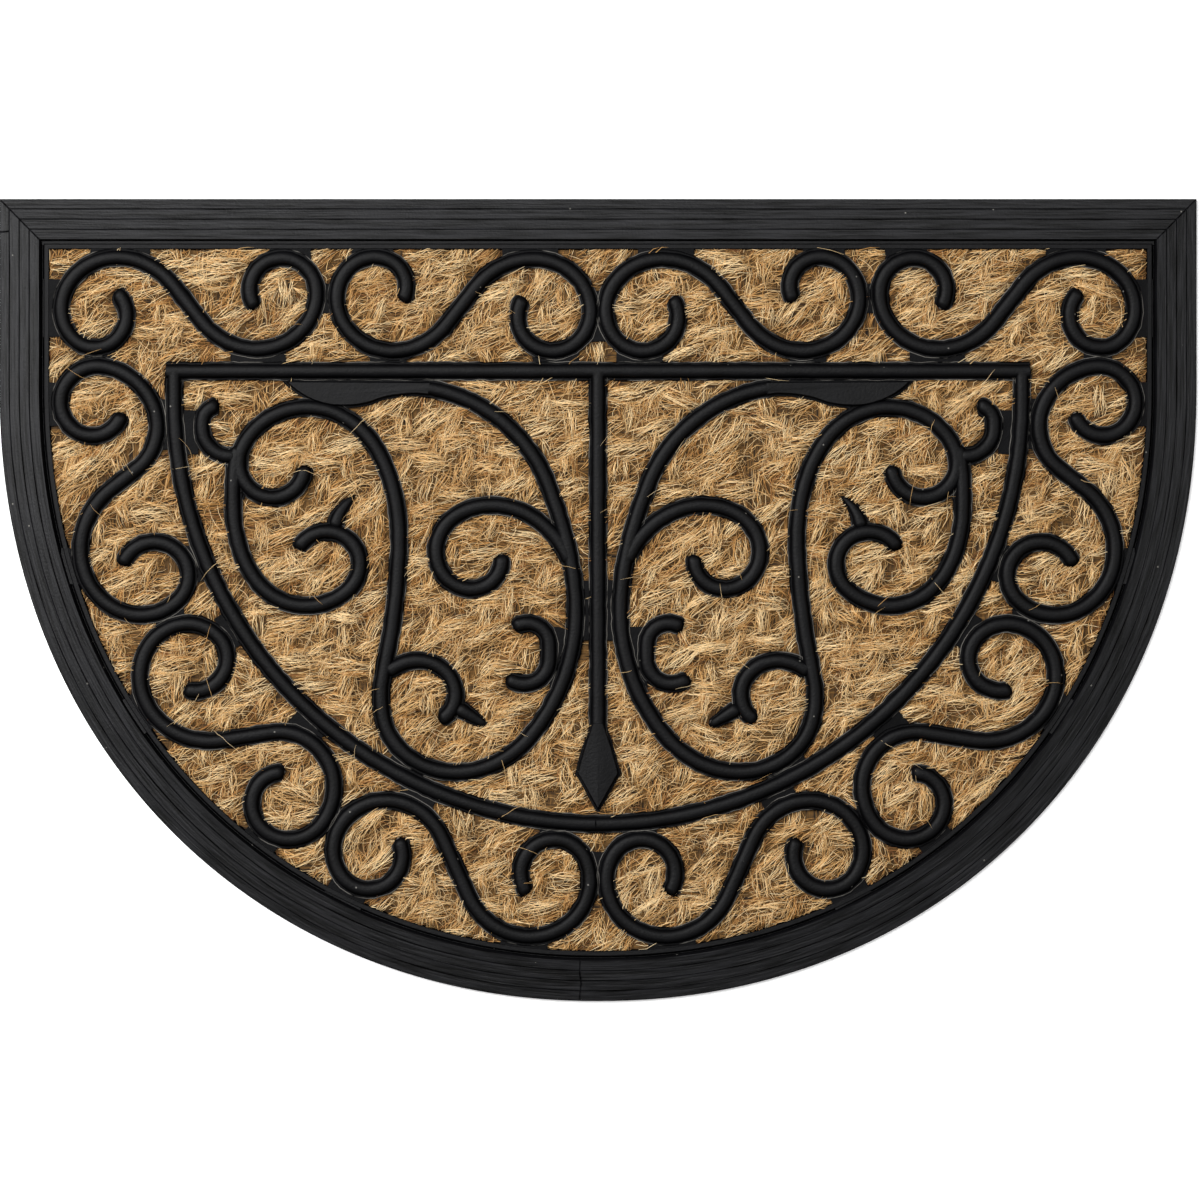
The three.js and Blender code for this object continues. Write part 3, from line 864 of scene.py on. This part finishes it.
FIBRE_COLOURS = np.array([linear(c) for c in (0x47260d, 0x935f2c, 0xc99652, 0xe3bc80, 0xf8deae)])
FIBRE_SHADES = np.linspace(0, 1, len(FIBRE_COLOURS))


def tints_for(shade):
    """Colours from the dark to the pale end of the husk's shades, for values from 0 to 1."""
    parts = [np.interp(shade, FIBRE_SHADES, FIBRE_COLOURS[:, part]) for part in range(3)]
    return np.column_stack([*parts, np.ones(len(shade))])


# Coir fibre: the same husk as single round hairs, each its own shade, with a dull waxy sheen
hair = new_material("coir_fibre")
tint = add_node(hair, "ShaderNodeAttribute", {}, attribute_name="fibre_tint")
surface = add_node(hair, "ShaderNodeBsdfPrincipled", {
    "Base Color": tint.outputs["Color"], "Roughness": 0.6, "IOR": 1.45})
add_node(hair, "ShaderNodeOutputMaterial", {"Surface": surface.outputs["BSDF"]})


def kept_in(x, y):
    """Paths with what passes the panel's edge bent back along it, and whether their middles are inside."""
    moved, outside = drawn_in(np.column_stack([x.ravel(), y.ravel()]) * MM, COIR_INSET - 1.2 * MM)
    middle_out = outside.reshape(x.shape)[:, 1:-1].all(axis=1)
    return moved[:, 0].reshape(x.shape) / MM, moved[:, 1].reshape(x.shape) / MM, ~middle_out


STRANDS = 4  # bundles that stay together within a yarn
WEFT_FIBRES = 42  # in each float
WARP_FIBRES = 32
WEFT_LEAN = 12  # degrees from the yarn's length, from its twist
WARP_LEAN = -10
SPRINGY = 0.04  # share of fibres that stand up beside a bar


def yarn_fibres(name, chosen, per_float, lean):
    """Fibres of the chosen floats, laid at a lean to each float's length and drawn together at its ends."""
    index = np.repeat(chosen, per_float)
    fibres = len(index)
    steps = np.linspace(0, 1, 4)
    strand = random.integers(0, STRANDS, fibres)
    strand_place = (np.arange(STRANDS) + 0.5) / STRANDS * 2 - 1
    strand_place = strand_place + random.uniform(-0.2, 0.2, (count, STRANDS))
    strand_shade = random.normal(0.72, 0.15, (count, STRANDS))
    strand_lean = random.normal(lean, 7, (count, STRANDS))
    middle = float_length[index] * random.uniform(-0.65, 0.65, fibres)
    reach = float_length[index] * random.uniform(0.35, 0.75, fibres)
    along = middle[:, None] + reach[:, None] * (2 * steps - 1)
    slope = np.tan(np.radians(strand_lean[index, strand] + random.normal(0, 9, fibres)))
    place = strand_place[index, strand] + random.normal(0, 0.13, fibres)
    gathered = 1 - 0.35 * np.minimum((along / float_length[index][:, None]) ** 2, 1)
    across = (place * float_width[index])[:, None] * gathered
    across += slope[:, None] * (along - along.mean(axis=1, keepdims=True))
    across += random.normal(0, 1.1, (fibres, 1)) * (1 - (2 * steps - 1) ** 2)
    across += random.normal(0, 0.35, across.shape)
    limit = float_width[index][:, None] * 1.1
    height = float_height(index[:, None], along, np.clip(across, -limit, limit))
    height += random.uniform(-0.2, 0.6, fibres)[:, None] + random.normal(0, 0.12, height.shape)
    turn = float_turn[index][:, None]
    x = float_x[index][:, None] + along * np.cos(turn) - across * np.sin(turn)
    y = float_y[index][:, None] + along * np.sin(turn) + across * np.cos(turn)
    spring = np.where(random.random(fibres) < SPRINGY, random.uniform(0.3, 0.6, fibres), 1)[:, None]
    z = COIR_PRESSED + (height - COIR_PRESSED) * (1 - spring * sample(pressed, x, y))
    x, y, kept = kept_in(x, y)
    hidden = sample(rubber_top, x, y) > z + 0.3
    shown = kept & (hidden.sum(axis=1) < 3)
    paths = np.stack([x, y, z], axis=2)[shown]
    radius = random.uniform(0.12, 0.23, fibres)[shown]
    shade = strand_shade[index, strand] + random.normal(0, 0.19, fibres) - 0.1 * np.abs(place)
    # Fibres that lie lower are darker: partly dirt settled in the hollows, partly painted shade there
    shade += 0.18 * (z.max(axis=1) - 7.3)
    return fibre_mesh(name, paths, radius, tints_for(shade[shown]), hair)


all_floats = np.arange(count)
for half_name, low_x, high_x in (("left", -400, 0), ("right", 0, 400)):
    near = (float_x >= low_x) & (float_x < high_x)
    weft_floats = all_floats[near & over]
    warp_floats = all_floats[near & ~over]
    yarn_fibres("weft_fibres_" + half_name, weft_floats, WEFT_FIBRES, WEFT_LEAN)
    yarn_fibres("warp_fibres_" + half_name, warp_floats, WARP_FIBRES, WARP_LEAN)

# Matting. Short fibres that stand off the yarns every way and felt the weave's hollows over
MATTING = 7000
MATTING_MADE = 3 * MATTING  # some fall outside the panel or under the rubber
MATTING_STATIONS = 4
top_map = weave_top + COIR_UNDER
x0 = random.uniform(raster_x[0], raster_x[-1], MATTING_MADE)
y0 = random.uniform(raster_y[0], raster_y[-1], MATTING_MADE)
along_weft = random.random(MATTING_MADE) < 0.6
any_way = random.uniform(0, math.pi, MATTING_MADE)
heading = np.where(along_weft, random.normal(0.3, 0.5, MATTING_MADE), any_way)
bend = random.normal(0, 1.2, MATTING_MADE)
step = random.uniform(5, 13, (MATTING_MADE, 1)) / (MATTING_STATIONS - 1)
angle = heading[:, None] + bend[:, None] * np.linspace(-1, 1, MATTING_STATIONS)
x = x0[:, None] + np.cumsum(step * np.cos(angle), axis=1)
y = y0[:, None] + np.cumsum(step * np.sin(angle), axis=1)
x, y, kept = kept_in(x, y)
z = sample(top_map, x, y) + random.uniform(-0.1, 0.5, (MATTING_MADE, 1))
chosen = np.flatnonzero(kept & ((sample(rubber_top, x, y) > z).sum(axis=1) < 2))[:MATTING]
shade = random.normal(0.68, 0.2, len(chosen))
paths = np.stack([x, y, z], axis=2)[chosen]
radius = random.uniform(0.12, 0.22, len(chosen))
fibre_mesh("matting_fibres", paths, radius, tints_for(shade), hair)

# Loose hairs. Ends of fibre that have worked out of the yarn: they lie over the coir every way, and a few
# cross the bars and the rim.
LOOSE_STATIONS = 8
LOOSE_HAIRS = 2200
CROSSING_HAIRS = 60
top_map = np.maximum(top_map + 0.15, rubber_top)


def loose_hairs(name, wanted, lengths, curl_amount, crossing):
    """Single curved hairs that lie on what is under them, on the coir alone or crossing the rubber."""
    made = wanted * 6
    x0 = random.uniform(raster_x[0], raster_x[-1], made)
    y0 = random.uniform(raster_y[0], raster_y[-1], made)
    heading = random.uniform(0, 2 * math.pi, made)
    length = random.uniform(*lengths, made)
    bend = random.normal(0, curl_amount, made)
    share = np.linspace(-0.5, 0.5, LOOSE_STATIONS)
    angle = heading[:, None] + bend[:, None] * share + random.normal(0, 0.08, (made, LOOSE_STATIONS))
    step = length[:, None] / (LOOSE_STATIONS - 1)
    x = x0[:, None] + np.cumsum(step * np.cos(angle), axis=1)
    y = y0[:, None] + np.cumsum(step * np.sin(angle), axis=1)
    z = sample(top_map, x, y)
    outside = drawn_in(np.column_stack([x.ravel(), y.ravel()]) * MM, COIR_INSET - 4 * MM)[1]
    inside = ~outside.reshape(x.shape)
    on_rubber = (sample(covered, x, y) > 0.5).mean(axis=1)
    wanted_share = (on_rubber > 0.15) & (on_rubber < 0.6) if crossing else on_rubber < 0.05
    chosen = np.flatnonzero(inside.all(axis=1) & wanted_share)[:wanted]
    x, y, z = x[chosen], y[chosen], z[chosen]
    for _ in range(6):
        z[:, 1:-1] = np.maximum(z[:, 1:-1], (z[:, :-2] + z[:, 2:]) / 2)
    z += random.uniform(0.15, 0.5, (len(chosen), 1))
    radius = random.uniform(0.08, 0.13, len(chosen))
    shade = random.normal(0.82, 0.14, len(chosen))
    return fibre_mesh(name, np.stack([x, y, z], axis=2), radius, tints_for(shade), hair)


loose_hairs("loose_hairs", LOOSE_HAIRS, (6, 26), 2.0, False)
loose_hairs("crossing_hairs", CROSSING_HAIRS, (10, 26), 0.7, True)

corners = outline(COIR_INSET, OUTLINE_STEPS)

# Studio: white paper that is lit through, so the mat's edge throws no shadow on it, and three soft lights.
# The strongest is behind the straight edge at the left, one is overhead, and a weak one is at the right.
FLOOR_DROP = 0.0003
FLOOR_GLOW = 0.4
SURROUND = 0.05
bpy.ops.object.select_all(action="DESELECT")
bpy.ops.mesh.primitive_plane_add(size=6, location=(0, 0, -FLOOR_DROP))
floor = bpy.context.object
floor.name = "floor"
# White paper: matt, and evenly bright under and around the mat
paper = new_material("white_paper")
surface = add_node(paper, "ShaderNodeBsdfPrincipled", {
    "Base Color": linear(0xf6f6f6), "Roughness": 0.9,
    "Emission Color": linear(0xffffff), "Emission Strength": FLOOR_GLOW})
add_node(paper, "ShaderNodeOutputMaterial", {"Surface": surface.outputs["BSDF"]})
floor.data.materials.append(paper)

world = bpy.data.worlds.new("surround")
bpy.context.scene.world = world
world.use_nodes = True
world.node_tree.nodes["Background"].inputs["Color"].default_value = (1, 1, 1, 1)
world.node_tree.nodes["Background"].inputs["Strength"].default_value = SURROUND


def soft_light(name, place, size, power):
    """A square area light that looks at the middle of the mat."""
    lamp = bpy.data.lights.new(name, "AREA")
    lamp.size = size
    lamp.energy = power
    holder = bpy.data.objects.new(name, lamp)
    holder.location = place
    holder.rotation_euler = (-Vector(place)).to_track_quat("-Z", "Y").to_euler()
    bpy.context.collection.objects.link(holder)


soft_light("overhead_light", (-0.6, 0.55, 2.35), 1.0, 40)
soft_light("back_left_light", (-1.9, 1.2, 1.9), 1.6, 90)
soft_light("right_light", (1.8, 0.5, 2.2), 1.4, 18)

# Camera straight over the mat, as in the photo
PHOTO_WIDTH = 0.6005
PHOTO_ASIDE = 0.001  # the picture's middle, right of the mat's
FOCUS_HEIGHT = 0.006
LENS = 135
SENSOR = 36
camera = bpy.data.objects.new("camera", bpy.data.cameras.new("camera"))
camera.data.lens = LENS
camera.data.sensor_width = SENSOR
camera.location = (PHOTO_ASIDE, 0, FOCUS_HEIGHT + PHOTO_WIDTH * LENS / SENSOR)
bpy.context.collection.objects.link(camera)
bpy.context.scene.camera = camera
bpy.context.scene.view_settings.view_transform = "Standard"
